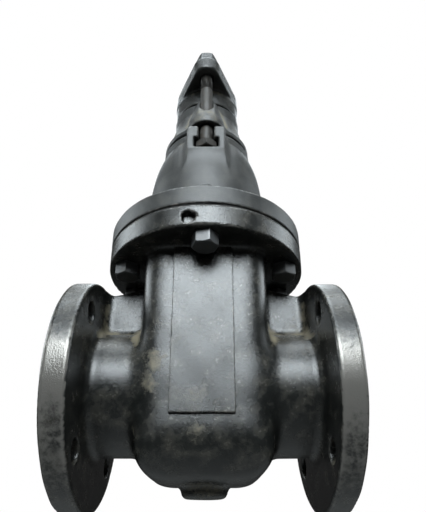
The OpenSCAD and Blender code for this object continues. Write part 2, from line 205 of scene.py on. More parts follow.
def drill(d: np.ndarray, p: Points, low: float, high: float) -> np.ndarray:
    """Drills the holes of the joint bolts.

    Args:
        d: Distance of the casting.
        p: Points.
        low: Lower end of the holes.
        high: Upper end of the holes.

    Returns:
        Distance of what is left.
    """
    for at in bolt_places():
        d = np.maximum(d, -disc(p, BOLT_HOLE, low, high, 0.0, at))
    return d


def spots(q: np.ndarray, marks: tuple[Spot, ...]) -> np.ndarray:
    """Soft spots on points.

    Args:
        q: Points, one a row.
        marks: Place, reach and strength of each spot.

    Returns:
        Their sum at each point.
    """
    total = np.zeros(len(q))
    for x, y, z, reach, strength in marks:
        total += strength * np.exp(-((q - [x, y, z]) ** 2).sum(1) / reach**2)
    return total


def hump(value: np.ndarray, middle: float, width: float) -> np.ndarray:
    """Soft hump of height 1 round a middle value."""
    return np.exp(-(((value - middle) / width) ** 2))


def ramp(value: np.ndarray, start: float, end: float) -> np.ndarray:
    """Goes from 0 at the start to 1 at the end."""
    return np.clip((value - start) / (end - start), 0.0, 1.0)


# From distances to meshes.


def beside(shape: Shape, q: np.ndarray, d: float) -> list[tuple[np.ndarray, np.ndarray]]:
    """Distances one step ahead of points and one step behind them, for each axis."""
    steps = d * np.eye(3)
    return [(shape(tuple((q + s).T)), shape(tuple((q - s).T))) for s in steps]


def slope(shape: Shape, q: np.ndarray, d: float) -> np.ndarray:
    """Unit gradients of a form at points, one a row, by differences over a step d."""
    g = np.stack([ahead - behind for ahead, behind in beside(shape, q, d)], 1)
    return g / np.maximum(np.linalg.norm(g, axis=1, keepdims=True), TINY)


def bulge(shape: Shape, q: np.ndarray, d: float) -> np.ndarray:
    """How far a form bulges (positive) or folds in (negative) near points.

    Args:
        shape: Distance of the form.
        q: Points, one a row.
        d: Reach.

    Returns:
        One value a point, 0 on a flat face.
    """
    total = -6.0 * shape(tuple(q.T))
    for ahead, behind in beside(shape, q, d):
        total = total + ahead + behind
    return total / d


def skin(shape: Shape, low: list[float], high: list[float],
         step: float) -> tuple[np.ndarray, np.ndarray]:
    """Surface of a form as quads, one point in each grid cell that the surface crosses.

    Args:
        shape: Distance of the form.
        low: Lowest corner of the grid.
        high: Highest corner of the grid.
        step: Size of a cell.

    Returns:
        Points and quads.
    """
    n = [int(math.ceil((b - a) / step)) + 2 for a, b in zip(low, high)]
    axes = [a - step / 2 + step * np.arange(m) for a, m in zip(low, n)]
    f = np.empty(n)
    for i in range(0, n[0], SLAB):
        grid = np.meshgrid(axes[0][i:i + SLAB], axes[1], axes[2], indexing="ij")
        f[i:i + SLAB] = shape(tuple(grid))
    f[f == 0.0] = TINY
    solid = f < 0.0

    def part(a: np.ndarray, c: tuple[int, int, int]) -> np.ndarray:
        """Values at one corner of every cell."""
        return a[c[0]:n[0] - 1 + c[0], c[1]:n[1] - 1 + c[1], c[2]:n[2] - 1 + c[2]]

    # One point a cell: the middle of the places where its edges cross the surface.
    corners = [(i, j, k) for i in (0, 1) for j in (0, 1) for k in (0, 1)]
    count = sum(part(solid, c).astype(np.int8) for c in corners)
    cells = np.argwhere((count > 0) & (count < len(corners)))
    number = np.full([m - 1 for m in n], -1, np.int64)
    number[tuple(cells.T)] = np.arange(len(cells))
    total, hits = np.zeros((len(cells), 3)), np.zeros(len(cells))
    for a in corners:
        for axis in range(3):
            if a[axis]:
                continue
            b = tuple(c + (i == axis) for i, c in enumerate(a))
            fa, fb = f[tuple((cells + a).T)], f[tuple((cells + b).T)]
            cut = (fa < 0.0) != (fb < 0.0)
            place = cells + np.array(a, float)
            place[:, axis] += np.where(cut, fa / np.where(cut, fa - fb, 1.0), 0.0)
            total[cut] += place[cut]
            hits[cut] += 1
    points = np.array([a[0] for a in axes]) + step * total / hits[:, None]

    # One quad for each grid edge that crosses the surface, through the four cells round it.
    quads = []
    for axis in range(3):
        u, v = (axis + 1) % 3, (axis + 2) % 3
        here = [slice(None)] * 3
        here[axis], here[u], here[v] = slice(0, -1), slice(1, -1), slice(1, -1)
        there = list(here)
        there[axis] = slice(1, None)
        first, second = solid[tuple(here)], solid[tuple(there)]
        at = np.argwhere(first != second)
        outward = first[tuple(at.T)]
        at[:, [u, v]] += 1
        du, dv = np.eye(3, dtype=int)[u], np.eye(3, dtype=int)[v]
        ring = np.stack([number[tuple((at - s).T)] for s in (du + dv, dv, 0 * du, du)], 1)
        quads.append(np.where(outward[:, None], ring, ring[:, ::-1]))

    for _ in range(PULLS):
        g = slope(shape, points, PULL_STEP)
        away = np.clip(shape(tuple(points.T)), -step, step)
        points -= PULL * g * away[:, None]
    return points, np.concatenate(quads)


def make_object(name: str, points: np.ndarray, faces: list, normals: np.ndarray | None = None,
                sharp: float | None = None) -> bpy.types.Object:
    """Smooth mesh object in the valve's frame.

    Args:
        name: Name of the piece.
        points: Points in millimetres about the spindle axis.
        faces: Point numbers of each face.
        normals: Unit normals of the points, where they are known.
        sharp: Angle in degrees past which an edge stays sharp.

    Returns:
        The linked object.
    """
    mesh = bpy.data.meshes.new(name)
    mesh.from_pydata(((points + [HALF_LENGTH, 0, 0]) * MM).tolist(), [], faces)
    mesh.polygons.foreach_set("use_smooth", [True] * len(mesh.polygons))
    if normals is not None:
        mesh.normals_split_custom_set_from_vertices(normals.tolist())
    if sharp is not None:
        mesh.set_sharp_from_angle(angle=math.radians(sharp))
    mesh.update()
    return link(name, mesh)


def link(name: str, data: bpy.types.ID) -> bpy.types.Object:
    """Puts a mesh, lamp or camera into the scene.

    Args:
        name: Name of the object.
        data: What it shows.

    Returns:
        The linked object.
    """
    thing = bpy.data.objects.new(name, data)
    bpy.context.scene.collection.objects.link(thing)
    return thing


def add_values(thing: bpy.types.Object, name: str, values: np.ndarray) -> None:
    """Stores one number a point for the finish to read."""
    made = thing.data.attributes.new(name, "FLOAT", "POINT")
    made.data.foreach_set("value", np.asarray(values, np.float32))


def settle(thing: bpy.types.Object, node: str, slot: Slot, finish: bpy.types.Material) -> None:
    """Puts a finished piece in place of its solid.

    Args:
        thing: The piece.
        node: The solid that it stands for.
        slot: The record's slot; not used.
        finish: Its material.
    """
    thing.data.materials.append(finish)
    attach(thing, "root")
    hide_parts(node)
    LOG.info("%s: %d faces", thing.name, len(thing.data.polygons))


# Shader groups that several finishes share.


class Nodes:
    """Small helper that adds and links shader nodes in one tree."""

    def __init__(self, tree: bpy.types.NodeTree) -> None:
        """Keeps the tree."""
        self.tree = tree

    @classmethod
    def fresh(cls, owner: bpy.types.Material | bpy.types.World) -> "Nodes":
        """Starts with the emptied tree of a material or a world.

        Args:
            owner: The material or world.

        Returns:
            The helper of its tree.
        """
        owner.use_nodes = True
        owner.node_tree.nodes.clear()
        return cls(owner.node_tree)

    def feed(self, socket: Socket, value: object) -> None:
        """Links an input to an output socket, or sets its own value.

        Args:
            socket: The input.
            value: An output socket, a number or a colour.
        """
        if isinstance(value, Socket):
            self.tree.links.new(value, socket)
        else:
            socket.default_value = value

    def add(self, kind: str, inputs: dict | None = None, **settings: object) -> bpy.types.Node:
        """Adds a node.

        Args:
            kind: Node type without its ShaderNode prefix.
            inputs: Input name or number to a value or an output socket.
            settings: Properties of the node.

        Returns:
            The node.
        """
        made = self.tree.nodes.new("ShaderNode" + kind)
        for key, value in settings.items():
            setattr(made, key, value)
        for key, value in (inputs or {}).items():
            self.feed(made.inputs[key], value)
        return made

    def math(self, operation: str, a: object, b: object, clamp: bool = False) -> Socket:
        """Adds a Math node on two values and returns its output."""
        return self.add("Math", {0: a, 1: b}, operation=operation, use_clamp=clamp).outputs[0]

    def times(self, a: object, b: object) -> Socket:
        """Multiplies two values."""
        return self.math("MULTIPLY", a, b)

    def plus(self, a: object, b: object, share: float) -> Socket:
        """Adds a share of b to a."""
        return self.math("ADD", a, self.times(b, share))

    def centred(self, value: object) -> Socket:
        """Shifts a noise so that its middle is 0."""
        return self.math("SUBTRACT", value, 0.5)

    def noise(self, where: object, scale: object, detail: float, rough: float = 0.55) -> Socket:
        """Adds a noise texture and returns its value."""
        inputs = {"Vector": where, "Scale": scale, "Detail": detail, "Roughness": rough}
        return self.add("TexNoise", inputs).outputs["Fac"]

    def spread(self, value: object, low: float, high: float) -> Socket:
        """Maps low to 0 and high to 1 with soft ends and returns the output."""
        inputs = {"Value": value, "From Min": low, "From Max": high}
        return self.add("MapRange", inputs, interpolation_type="SMOOTHSTEP").outputs["Result"]

    def mix(self, mask: object, a: object, b: object) -> Socket:
        """Mixes two colours by a mask and returns the colour."""
        return self.add("Mix", {0: mask, 6: a, 7: b}, data_type="RGBA").outputs[2]

    def place(self) -> Socket:
        """Place on the piece, in metres."""
        return self.add("TexCoord").outputs["Object"]

    def mark(self, name: str) -> Socket:
        """Number stored at the points of a casting."""
        return self.add("Attribute", attribute_name=name).outputs["Fac"]

    def group(self, tree: bpy.types.NodeTree, where: Socket, **inputs: object) -> Sockets:
        """Places a shared group with its own values and returns its outputs."""
        return self.add("Group", {"Vector": where, **inputs}, node_tree=tree).outputs

    def seen_or_lit(self, lit: bpy.types.Node, seen: bpy.types.Node, kind: str) -> None:
        """Ends a tree that shows the camera another shader than it shows the light.

        Args:
            lit: The shader that light meets.
            seen: The shader that the camera sees.
            kind: Type of the output node.
        """
        eye = self.add("LightPath").outputs["Is Camera Ray"]
        both = self.add("MixShader", {0: eye, 1: lit.outputs[0], 2: seen.outputs[0]})
        self.add(kind, {"Surface": both.outputs[0]})

    def surface(self, inputs: dict, height: Socket, strength: float, depth: float) -> None:
        """Ends a material with its shader over a bump.

        Args:
            inputs: Inputs of the shader.
            height: Height of the bump.
            strength: Strength of the bump.
            depth: Depth of the bump in metres.
        """
        bump = self.add("Bump", {"Height": height, "Strength": strength, "Distance": depth})
        shader = self.add("BsdfPrincipled", {**inputs, "Normal": bump.outputs["Normal"]})
        self.add("OutputMaterial", {"Surface": shader.outputs["BSDF"]})


class Effects:
    """Shader groups for grain, worn edges and settled dust, built once.

    Each pair is the range of values that goes from none to all of an effect. Each scale is a share
    of the group's own scale.
    """

    PORE, PORE_FIELD, PORE_SCALE = (0.32, 0.08), (0.52, 0.68), 0.35
    SPECK, SPECK_FIELD = (0.56, 0.70), (0.42, 0.62)
    MIDDLE_SCALE, FINE_HEIGHT, MIDDLE_HEIGHT = 0.28, 0.8, 0.15
    WORN, SLOW_SCALE, EDGE_GAIN = (0.22, 0.85), 0.16, 1.7
    LEDGE, LEDGE_DUST, LEDGE_FILM = (0.2, 0.95), 0.30, 0.25
    SHELF, SHELF_LEAST = (-0.75, 0.30), 0.1
    DUST, FILM = (0.25, 0.75), (0.42, 0.75)
    RAGGED, RAGGED_SCALE = 0.9, 3.4

    def __init__(self) -> None:
        """Builds the groups."""
        self.grain = self._grain()
        self.wear = self._wear()
        self.dust = self._dust()

    @staticmethod
    def _start(name: str, ins: dict[str, float],
               outs: tuple[str, ...]) -> tuple[Nodes, Sockets, Sockets]:
        """Starts a group, whose first input is the place on the piece.

        Args:
            name: Name of the group.
            ins: Inputs and their usual values.
            outs: Names of the value outputs.

        Returns:
            The group's helper, its input sockets and its output sockets.
        """
        tree = bpy.data.node_groups.new(name, "ShaderNodeTree")
        new, number = tree.interface.new_socket, "NodeSocketFloat"
        new(name="Vector", in_out="INPUT", socket_type="NodeSocketVector")
        for key, value in ins.items():
            new(name=key, in_out="INPUT", socket_type=number).default_value = value
        for key in outs:
            new(name=key, in_out="OUTPUT", socket_type=number)
        start = tree.nodes.new("NodeGroupInput")
        end = tree.nodes.new("NodeGroupOutput")
        return Nodes(tree), start.outputs, end.inputs

    def _grain(self) -> bpy.types.NodeTree:
        """Sand-cast skin: height for a bump, slow mottling, fine pores and specks.

        Returns:
            The group.
        """
        n, i, o = self._start("cast_grain", {"Fine": 900.0, "Coarse": 90.0},
                              ("Height", "Mottle", "Pores", "Specks"))
        where = i["Vector"]
        fine = n.noise(where, i["Fine"], 4.0, 0.6)
        middle = n.noise(where, n.times(i["Fine"], self.MIDDLE_SCALE), 3.0)
        cells = n.add("TexVoronoi", {"Vector": where, "Scale": n.times(i["Fine"], self.PORE_SCALE)})
        pores = n.spread(cells.outputs["Distance"], *self.PORE)
        specks = n.spread(fine, *self.SPECK)
        n.feed(o["Height"], n.plus(n.times(fine, self.FINE_HEIGHT), middle, self.MIDDLE_HEIGHT))
        n.feed(o["Mottle"], n.noise(where, i["Coarse"], 8.0, 0.68))
        n.feed(o["Pores"], n.times(pores, n.spread(middle, *self.PORE_FIELD)))
        n.feed(o["Specks"], n.times(specks, n.spread(middle, *self.SPECK_FIELD)))
        return n.tree

    def _wear(self) -> bpy.types.NodeTree:
        """Bare iron along edges and in patches: paint worn off, and on the body's flange rims also
        painted highlight.

        Returns:
            The group.
        """
        ins = {"Edge": 0.0, "Patch": 0.0, "Amount": 0.5, "Scale": 220.0}
        n, i, o = self._start("worn_edges", ins, ("Mask",))
        rough = n.noise(i["Vector"], i["Scale"], 5.0, 0.65)
        slow = n.noise(i["Vector"], n.times(i["Scale"], self.SLOW_SCALE), 2.0)
        rub_and_sheen = n.math("ADD", n.times(i["Edge"], n.times(slow, self.EDGE_GAIN)), i["Patch"])
        rub_and_sheen = n.math("ADD", n.times(rub_and_sheen, i["Amount"]), n.centred(rough))
        n.feed(o["Mask"], n.spread(rub_and_sheen, *self.WORN))
        return n.tree

    def _dust(self) -> bpy.types.NodeTree:
        """Dust and dried mud that stays in folds, on ledges and in splashes.

        Returns:
            The group.
        """
        ins = {"Fold": 0.0, "Splash": 0.0, "Amount": 0.5, "Scale": 90.0}
        n, i, o = self._start("settled_dust", ins, ("Mask", "Film"))
        up = n.add("SeparateXYZ", {0: n.add("NewGeometry").outputs["Normal"]}).outputs["Z"]
        ledge = n.spread(up, *self.LEDGE)
        shelf = n.times(n.spread(up, *self.SHELF), 1.0 - self.SHELF_LEAST)
        shelf = n.math("ADD", shelf, self.SHELF_LEAST)
        broad = n.noise(i["Vector"], i["Scale"], 5.0, 0.6)
        fine = n.noise(i["Vector"], n.times(i["Scale"], self.RAGGED_SCALE), 5.0, 0.7)
        heap = n.plus(n.times(i["Fold"], shelf), ledge, self.LEDGE_DUST)
        heap = n.times(n.math("ADD", heap, i["Splash"]), i["Amount"])
        for noise in (broad, fine):
            heap = n.plus(heap, n.centred(noise), self.RAGGED)
        n.feed(o["Mask"], n.spread(heap, *self.DUST))
        n.feed(o["Film"], n.spread(n.plus(broad, ledge, self.LEDGE_FILM), *self.FILM))
        return n.tree


# Finishes.


@dataclass(frozen=True)
class PaintedIron:
    """Worn dark paint on a sand casting, with dust in its folds and bare iron on its edges."""

    name: str
    paint: Colour = (0.007, 0.0075, 0.007, 1.0)
    pale: Colour = (0.016, 0.017, 0.0165, 1.0)
    mottle: Pair = (0.35, 0.72)
    pore_colour: Colour = (0.012, 0.012, 0.012, 1.0)
    pores: float = 0.3
    specks: float = 0.4
    film_colour: Colour = (0.060, 0.054, 0.042, 1.0)
    film: float = 0.28
    dust_colour: Colour = (0.15, 0.130, 0.088, 1.0)
    dust_cover: float = 0.85
    dust: float = 0.85
    iron: Colour = (0.19, 0.180, 0.165, 1.0)
    iron_metallic: float = 0.5
    wear: float = 0.50
    gloss: float = 0.25
    mottle_rough: float = 0.22
    dust_rough: float = 0.40
    iron_smooth: float = 0.06
    grain: float = 1000.0
    bump: float = 0.50
    bump_depth: float = 0.0006
    dust_height: float = 0.25

    def build(self, effects: Effects) -> bpy.types.Material:
        """Builds the material.

        Args:
            effects: The shared groups.

        Returns:
            The material.
        """
        made = bpy.data.materials.new(self.name)
        n = Nodes.fresh(made)
        where = n.place()
        edge, fold, rub_and_sheen, mud = (n.mark(name) for name in ("edge", "fold", "rub_and_sheen", "mud"))
        grain = n.group(effects.grain, where, Fine=self.grain)
        # Bare iron on edges and in patches; on the body's flange rims the patches are also painted
        # highlight and painted reflection.
        bare = n.group(effects.wear, where, Edge=edge, Patch=rub_and_sheen, Amount=self.wear)["Mask"]
        dust = n.group(effects.dust, where, Fold=fold, Splash=mud, Amount=self.dust)
        coat = n.mix(n.spread(grain["Mottle"], *self.mottle), self.paint, self.pale)
        for mask, share, colour in (
            (dust["Film"], self.film, self.film_colour),
            (grain["Pores"], self.pores, self.pore_colour),
            (grain["Specks"], self.specks, self.film_colour),
            (dust["Mask"], self.dust_cover, self.dust_colour),
        ):
            coat = n.mix(n.times(mask, share), coat, colour)
        rough = n.plus(self.gloss, n.centred(grain["Mottle"]), self.mottle_rough)
        rough = n.plus(rough, dust["Mask"], self.dust_rough)
        n.surface({
            "Base Color": n.mix(bare, coat, self.iron),
            "Roughness": n.math("SUBTRACT", rough, n.times(bare, self.iron_smooth), clamp=True),
            "Metallic": n.times(bare, self.iron_metallic),
        }, n.plus(grain["Height"], dust["Mask"], self.dust_height), self.bump, self.bump_depth)
        return made


@dataclass(frozen=True)
class Metal:
    """Plain or rusty metal with fine grain, for fasteners, rings and the spindle."""

    name: str
    base: Colour
    stain: Colour
    stain_level: float = 0.5
    metallic: float = 0.8
    gloss: float = 0.4
    scratch: Colour = (0.42, 0.40, 0.37, 1.0)
    shade: float = 0.75
    shade_range: Pair = (0.4, 0.9)
    stain_range: Pair = (0.75, 0.95)
    stain_rough: float = 0.35
    stain_dull: float = 0.7
    grain: float = 1300.0
    patches: float = 160.0
    bump: float = 0.4
    bump_depth: float = 0.0004

    def build(self, effects: Effects) -> bpy.types.Material:
        """Builds the material.

        Args:
            effects: The shared groups.

        Returns:
            The material.
        """
        made = bpy.data.materials.new(self.name)
        n = Nodes.fresh(made)
        where = n.place()
        grain = n.group(effects.grain, where, Fine=self.grain, Coarse=self.patches)
        scratched = n.group(effects.wear, where)["Mask"]
        stain = n.spread(grain["Mottle"], *(v - 0.5 * self.stain_level for v in self.stain_range))
        dark = tuple(self.shade * c for c in self.base[:3]) + (1.0,)
        tone = n.mix(n.spread(grain["Height"], *self.shade_range), dark, self.base)
        tone = n.mix(stain, tone, self.stain)
        dull = n.times(stain, self.stain_dull * self.metallic)
        n.surface({
            "Base Color": n.mix(scratched, tone, self.scratch),
            "Roughness": n.plus(self.gloss, stain, self.stain_rough),
            "Metallic": n.math("SUBTRACT", self.metallic, dull, clamp=True),
        }, grain["Height"], self.bump, self.bump_depth)
        return made


@dataclass(frozen=True)
class Fibre:
    """Matt sheet or braided packing, with a fibrous surface."""

    name: str
    dark: Colour
    light: Colour
    scale: float = 1400.0
    light_range: Pair = (0.35, 0.85)
    rough: float = 0.85
    bump: float = 0.6
    bump_depth: float = 0.0004

    def build(self, effects: Effects) -> bpy.types.Material:
        """Builds the material.

        Args:
            effects: The shared groups.

        Returns:
            The material.
        """
        made = bpy.data.materials.new(self.name)
        n = Nodes.fresh(made)
        height = n.group(effects.grain, n.place(), Fine=self.scale)["Height"]
        tone = n.mix(n.spread(height, *self.light_range), self.dark, self.light)
        n.surface({"Base Color": tone, "Roughness": self.rough}, height, self.bump, self.bump_depth)
        return made


class Finishes:
    """All finishes of the valve."""

    def __init__(self) -> None:
        """Builds the shared groups and the materials."""
        effects = Effects()
        self.body = PaintedIron("body_paint", film=0.48).build(effects)
        self.bonnet = PaintedIron("bonnet_paint", dust=0.5, gloss=0.46).build(effects)
        self.box = PaintedIron("stuffing_box_paint", dust=0.9, wear=0.4, gloss=0.42).build(effects)
        self.gland = PaintedIron("gland_paint", dust=0.6, wear=0.4, gloss=0.30).build(effects)
        self.gate = PaintedIron("gate_iron", wear=0.2, dust=0.3).build(effects)
        self.bolt = Metal("painted_bolt", (0.085, 0.086, 0.087, 1.0), (0.100, 0.085, 0.065, 1.0),
                          stain_level=0.4, metallic=0.15, gloss=0.32).build(effects)
        self.rusty = Metal("rusty_bolt", (0.030, 0.027, 0.023, 1.0), (0.040, 0.028, 0.019, 1.0),
                           stain_level=0.5, metallic=0.2, gloss=0.5).build(effects)
        self.spindle = Metal("spindle_steel", (0.30, 0.28, 0.26, 1.0), (0.13, 0.085, 0.055, 1.0),
                             stain_level=0.45, metallic=0.9, gloss=0.34).build(effects)
        self.bronze = Metal("turned_bronze", (0.55, 0.38, 0.17, 1.0), (0.16, 0.13, 0.08, 1.0),
                            stain_level=0.35, metallic=1.0, gloss=0.32).build(effects)
        self.sheet = Fibre("joint_sheet", (0.006, 0.006, 0.006, 1.0),
                           (0.022, 0.021, 0.02, 1.0)).build(effects)
        self.packing = Fibre("greased_packing", (0.08, 0.065, 0.045, 1.0),
                             (0.22, 0.19, 0.145, 1.0), 700.0).build(effects)


# Castings.


@dataclass
class Casting:
    """A casting whose skin comes from its distance, with marks for its finish."""

    node: str = ""
    mark: str = "casting"
    cell: float = 1.6
    bare: tuple[Spot, ...] = ()
    mud: tuple[Spot, ...] = ()

    def shape(self, p: Points) -> np.ndarray:
        """Distance of the casting, given by each kind."""
        raise NotImplementedError

    def reach(self) -> Box:
        """Half sides along X and Y and the two heights that hold it, given by each kind."""
        raise NotImplementedError

    def rubbed_and_sheen(self, q: np.ndarray) -> np.ndarray:
        """How much each point is worn bare besides its edges; on the body's flange rims also
        painted highlight.
        """
        return spots(q, self.bare)

    def muddy(self, q: np.ndarray) -> np.ndarray:
        """How much mud or dust was splashed on each point."""
        return spots(q, self.mud)

    def dusty(self, q: np.ndarray) -> np.ndarray:
        """Share of the dust that its folds keep at each point."""
        return np.ones(len(q))

    def waved(self, p: Points) -> np.ndarray:
        """Distance with the slight waves of a sand casting, of uneven lengths.

        Args:
            p: Points.

        Returns:
            Distance, negative inside.
        """
        x, y, z = p
        wave = np.sin(x / 7.3 + y / 11.0) * np.sin(y / 8.1 - z / 9.7)
        wave = wave + np.sin(z / 6.1 + x / 13.0) * np.sin(x / 5.7 - y / 10.3)
        return self.shape(p) + WAVE * wave

    def build(self, finish: bpy.types.Material) -> None:
        """Makes the mesh, marks it and puts it in place of its solid.

        Args:
            finish: Its material.
        """
        half_x, half_y, foot, top = self.reach()
        low = [c - MARGIN for c in (-half_x, -half_y, foot)]
        high = [c + MARGIN for c in (half_x, half_y, top)]
        points, quads = skin(self.waved, low, high, self.cell)
        normals = slope(self.waved, points, NORMAL_STEP)
        thing = make_object(f"{self.node}_{self.mark}", points, quads.tolist(), normals)
        edge = np.clip(bulge(self.shape, points, EDGE_REACH) / EDGE_FULL, 0.0, 1.0)
        fold = np.clip(-bulge(self.shape, points, FOLD_REACH) / FOLD_FULL, 0.0, 1.0)
        add_values(thing, "edge", edge)
        add_values(thing, "fold", self.dusty(points) * fold)
        # Bare iron patches; on the body's flange rims also painted highlight and painted
        # reflection.
        add_values(thing, "rub_and_sheen", self.rubbed_and_sheen(points))
        add_values(thing, "mud", self.muddy(points))
        settle(thing, self.node, Slot.CASTING, finish)


@dataclass
class PipeBody(Casting):
    """Chest, necks, ribs and flanges in one casting."""

    node: str = "body"
    cell: float = 1.9
    flange_r: float = 92.0
    flange_t: float = 18.0
    flange_rim: float = 2.6
    flange_fillet: float = 8.0
    neck_r: float = 50.0
    neck_fillet: float = 9.5
    bore_r: float = 38.0
    bore_end: float = 17.0
    bore_edge: float = 1.5
    hole_r: float = 9.0
    hole_circle: float = 73.0
    hole_edge: float = 1.2
    chest: float = 57.0
    chest_x: float = 54.5
    chest_round: float = 27.0
    chest_edge: float = 5.0
    bowl: float = 72.5
    bowl_x: float = 50.0
    bowl_round: float = 27.0
    bowl_front_round: float = 41.0
    bowl_edge: float = 7.0
    boss_r: float = 17.5
    boss_drop: float = 7.5
    boss_rim: float = 4.5
    boss_fillet: float = 7.0
    rib_half: float = 6.0
    rib_edge: float = 2.5
    rib_end: float = 88.0
    rib_rise: float = 0.25
    rib_slope: float = 1.03
    rib_fillet: float = 8.0
    joint_r: float = 87.0
    joint_low: float = 108.4
    joint_top: float = 127.1
    joint_rim: float = 1.4
    joint_fillet: float = 6.0
    pit_x: float = -12.7
    pit_lift: float = 8.2
    pit_r: float = 5.2
    pit_depth: float = 7.0
    pit_edge: float = 1.6
    bare: tuple[Spot, ...] = ((-4, -87, 116, 14, 0.45), (22, -84, 120, 10, 0.35))
    mud: tuple[Spot, ...] = (
        (-37, -56, 40, 7, 0.42), (-38, -56, 15, 8, 0.45), (-34, -57, 6, 9, 0.40),
        (-39, -55, -8, 8, 0.40), (-3, -55, -37, 7, 0.25), (-40, -50, -37, 6, 0.3),
        (-12, -56, -34, 12, 0.15), (12, -58, -30, 9, 0.15), (-10, -50, -44, 24, 0.10),
        (28, -50, -38, 18, 0.10), (-30, -56, 10, 22, 0.12), (0, -17, -77, 18, 0.45),
        (-74, -6, 68, 16, 0.22), (74, -6, 68, 16, 0.22),
    )

    def reach(self) -> Box:
        """Half sides along X and Y and the two heights that hold it."""
        return HALF_LENGTH, self.flange_r, -self.flange_r, self.joint_top

    def shape(self, p: Points) -> np.ndarray:
        """Distance of the body, with its waterway closed at the gate.

        Args:
            p: Points.

        Returns:
            Distance, negative inside.
        """
        x, y, z = p
        side = (np.abs(x), np.abs(y), z)
        inner = HALF_LENGTH - self.flange_t
        neck = disc_x(side, self.neck_r, -inner, inner + 5, 1.0)
        flange = disc_x(side, self.flange_r, inner, HALF_LENGTH, self.flange_rim)
        rib = block(side, (0, -self.rib_half, 0), (inner + 4, self.rib_half, self.joint_low),
                    self.rib_edge)
        slant = (z - self.rib_end - self.rib_rise * (inner - side[0])) / self.rib_slope
        joint = disc(p, self.joint_r, self.joint_low, self.joint_top, self.joint_rim)
        d = blend(self.chest_middle(p), neck, self.neck_fillet)
        d = blend(d, meet(rib, slant, 2.0), self.rib_fillet)
        d = blend(d, flange, self.flange_fillet)
        d = blend(d, joint, self.joint_fillet)
        bore = disc_x(side, self.bore_r, self.bore_end, HALF_LENGTH + 9, 0.5)
        d = carve(d, bore, self.bore_edge)
        s = self.hole_circle / math.sqrt(2.0)
        holes = np.hypot(side[1] - s, np.abs(z) - s) - self.hole_r
        d = carve(d, np.maximum(holes, inner - 4 - side[0]), self.hole_edge)
        d = drill(d, p, self.joint_low - 2, self.joint_top + 3)
        along, up = x - self.pit_x, z - self.joint_low - self.pit_lift
        turn = np.arctan2(up, along)
        ragged = self.pit_r + 0.4 * np.sin(3 * turn + 1.0) + 0.25 * np.sin(5 * turn)
        pit = np.maximum(np.hypot(along, up) - ragged, y + self.joint_r - self.pit_depth)
        return carve(d, pit, self.pit_edge)

    def chest_middle(self, p: Points) -> np.ndarray:
        """Distance of the chest with its bowl and boss.

        Args:
            p: Points.

        Returns:
            Distance, negative inside.
        """
        x, y, z = p
        plan = round_plan(x, y, self.chest_x, self.chest, self.chest_round)
        rise = (self.joint_top + self.bowl) / 2
        mid = z - (self.joint_top - self.bowl) / 2
        below = np.where(mid < 0, np.abs(mid), 0) - rise
        front = corner(np.abs(x) - self.bowl_x, below, self.bowl_round)
        edge = corner(np.abs(y) - self.chest, below, self.bowl_front_round)
        d = meet(plan, meet(front, edge, self.bowl_edge), self.chest_edge)
        d = np.maximum(d, z - self.joint_low - 4)
        low = -self.bowl - self.boss_drop
        boss = disc(p, self.boss_r, low, -self.bowl + 6.0, self.boss_rim)
        return blend(d, boss, self.boss_fillet)

    def rubbed_and_sheen(self, q: np.ndarray) -> np.ndarray:
        """Bare iron patches on the flange rims, by degrees above the front, and on the joint rim;
        those on the pipe flange rims are also painted highlight and painted reflection.

        Args:
            q: Points, one a row.

        Returns:
            One value a point.
        """
        x, y, z = q.T
        rim = np.hypot(y, z) > self.flange_r - 0.6
        rim = rim & (np.abs(x) > HALF_LENGTH - self.flange_t - 0.5)
        turn = np.degrees(np.arctan2(z, -y))
        # Painted highlight: the two front humps sit where the highlight falls on the rims, bare
        # iron that also stands in for that highlight.
        left = hump(turn, -2, 13) * (x < 0)
        right = hump(turn, -5, 15) * (x > 0)
        back = 0.5 * hump(np.abs(turn), 150, 22)
        # Painted reflection: the band below the front is bare iron that also stands in for the lit
        # ground reflected there.
        under = 0.85 * np.clip(1.2 - np.abs(turn + 35.0) / 50.0, 0.0, 1.0)
        return rim * (1.7 * (left + right) + back + under) + super().rubbed_and_sheen(q)

    def dusty(self, q: np.ndarray) -> np.ndarray:
        """Less dust in the folds at the pipe flanges and under the joint.

        Args:
            q: Points, one a row.

        Returns:
            Share of the dust at each point.
        """
        x, z = np.abs(q[:, 0]), q[:, 2]
        low = ramp(x, 72.0, 80.0) * ramp(z, 42.0, 30.0)
        flange, joint = ramp(x, 76.0, 82.0), ramp(z, 104.0, 96.0)
        return (1.0 - 0.8 * low) * (1.0 - 0.5 * flange) * joint


@dataclass
class ChestPanels(Casting):
    """Raised bare panels on the front and back of the chest."""

    node: str = "body"
    mark: str = "panels"
    cell: float = 0.9
    half: float = 23.5
    shift: float = 1.5
    foot: float = -27.0
    top: float = 111.0
    face: float = 58.0
    depth: float = 4.0
    edge: float = 0.5
    mud: tuple[Spot, ...] = ((-5, -58, -17, 10, 0.36), (12, -58, -22, 9, 0.3),
                             (-18, -58, -8, 9, 0.25), (4, -58, 0, 8, 0.2))

    def reach(self) -> Box:
        """Half sides along X and Y and the two heights that hold it."""
        return self.half, self.face, self.foot, self.top

    def shape(self, p: Points) -> np.ndarray:
        """Distance of the two panels.

        Args:
            p: Points.

        Returns:
            Distance, negative inside.
        """
        low = (-self.half, self.face - self.depth, self.foot)
        high = (self.half, self.face, self.top)
        return block((p[0] + self.shift, np.abs(p[1]), p[2]), low, high, self.edge)


